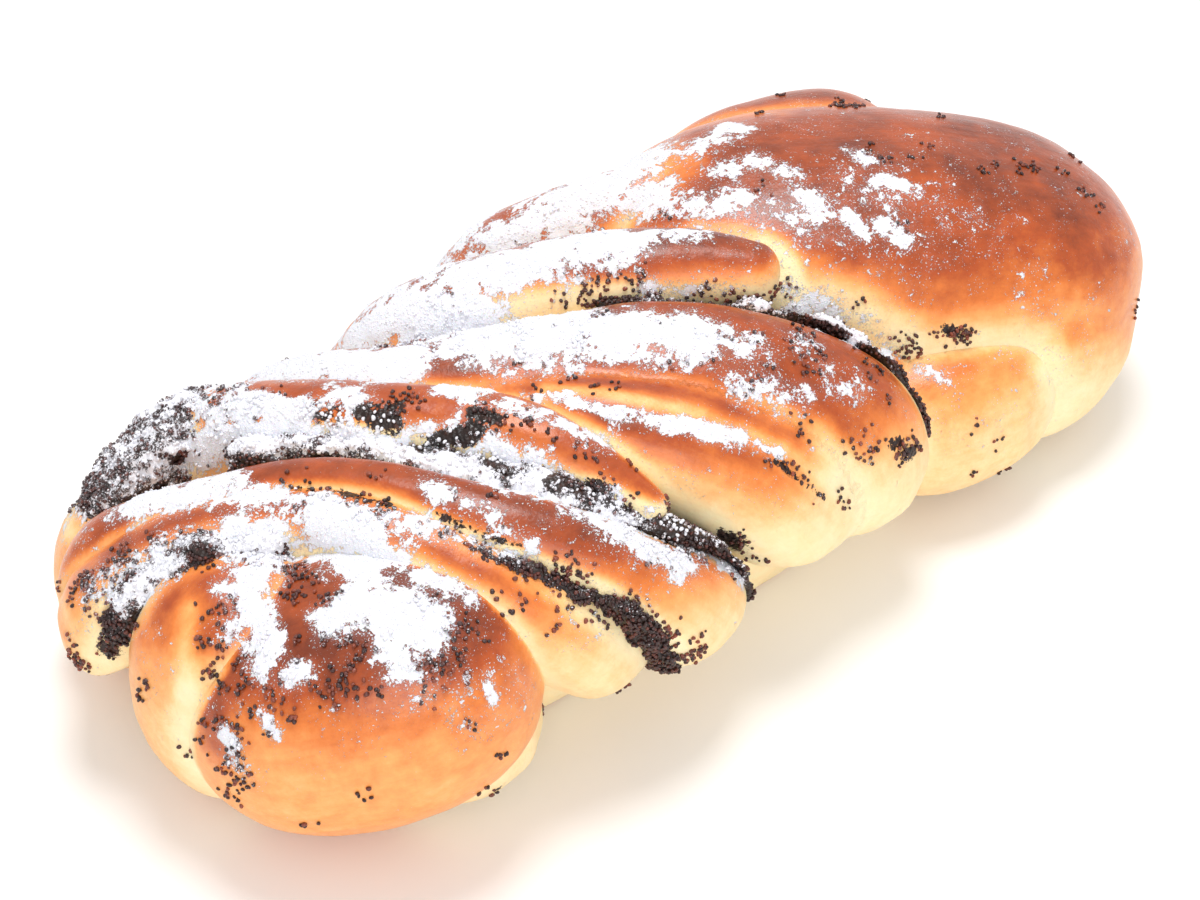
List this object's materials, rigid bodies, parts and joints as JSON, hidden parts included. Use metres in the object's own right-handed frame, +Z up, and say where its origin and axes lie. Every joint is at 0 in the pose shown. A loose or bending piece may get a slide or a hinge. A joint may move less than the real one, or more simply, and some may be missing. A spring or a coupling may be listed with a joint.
{
  "type": "poppy seed cake",
  "caption": "Long twisted loaf of sweet yeast dough with dark poppy seed filling in its seams, resting flat.",
  "frame": {"origin": "on the table plane, under the middle of the loaf's length and width", "axes": "+X along the loaf to its far end, +Y to its back, +Z up"},
  "size_m": [0.2531, 0.1143, 0.0678],
  "materials": {
    "crust": "baked golden to chestnut crust with a soft egg-wash shine",
    "pale_dough": "pale cream dough, hardly browned, satin",
    "filling": "moist dark poppy seed filling, grainy"
  },
  "bodies": {
    "root": {"core": "pale_dough", "filling_first": "filling", "filling_second": "filling", "filling_third": "filling", "filling_back": "filling", "filling_near": "filling", "near_knob": "crust", "first_twist": "crust", "second_twist": "crust", "third_twist": "crust", "fourth_twist": "crust", "fifth_twist": "crust", "far_fold": "pale_dough", "far_dome": "crust", "back_roll": "crust", "back_shoulder": "crust", "near_end_fold": "pale_dough", "near_back_side": "pale_dough", "near_knob_fold": "pale_dough"}
  },
  "joints": []
}
